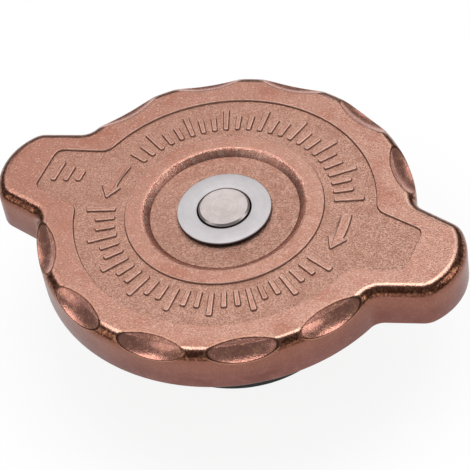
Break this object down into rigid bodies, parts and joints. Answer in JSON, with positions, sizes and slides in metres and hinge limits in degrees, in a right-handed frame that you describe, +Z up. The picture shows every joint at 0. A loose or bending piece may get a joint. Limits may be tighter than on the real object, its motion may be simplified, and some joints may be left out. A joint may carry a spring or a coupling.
{
  "type": "radiator cap",
  "caption": "Two-eared pressed-metal radiator cap with a raised-mark band, centre rivet, neck gasket, and a spring-loaded pressure valve with a vacuum valve inside it.",
  "frame": {"origin": "on the cap's axis, at the foot of the valve hub, which the cap stands on", "axes": "+Z up along the cap's axis, towards the rivet; +X along the line from ear to ear"},
  "size_m": [0.0786, 0.06, 0.0246],
  "materials": {
    "copper_plate": "satin copper-coloured plating on pressed steel, sand-grain texture in the band and dish",
    "stainless": "satin turned stainless steel",
    "spring_steel": "bright drawn spring wire",
    "plated_steel": "zinc-plated sheet steel",
    "brass": "turned brass",
    "black_rubber": "matt moulded rubber"
  },
  "bodies": {
    "cover": {"cap_cover": "copper_plate"},
    "carrier": {"rivet_washer": "stainless", "centre_rivet": "stainless", "swivel_washer": "stainless", "spring_disc": "stainless", "neck_gasket": "black_rubber", "gasket_retainer": "plated_steel", "spring_cage": "plated_steel", "main_spring": "spring_steel"},
    "pressure_valve": {"valve_hub": "brass", "valve_plate": "plated_steel", "pressure_seal": "black_rubber", "seal_retainer": "stainless", "vacuum_spring": "spring_steel"},
    "vacuum_valve": {"vacuum_valve": "brass", "vacuum_seal": "black_rubber", "spring_clip": "stainless"}
  },
  "joints": [
    {"name": "cover_swivel", "type": "hinge", "parent": "cover", "child": "carrier", "pos_m": [0, 0, 0.0229], "axis": [0, 0, 1], "continuous": true},
    {"name": "pressure_valve_lift", "type": "slide", "parent": "carrier", "child": "pressure_valve", "axis": [0, 0, 1], "range_m": [0, 0.004], "stiffness_N_per_m": 8000, "springref_m": -0.0002, "deforming": ["main_spring"]},
    {"name": "vacuum_valve_drop", "type": "slide", "parent": "pressure_valve", "child": "vacuum_valve", "axis": [0, 0, -1], "range_m": [0, 0.0012], "stiffness_N_per_m": 150, "springref_m": -0.0003, "deforming": ["vacuum_spring"]}
  ]
}
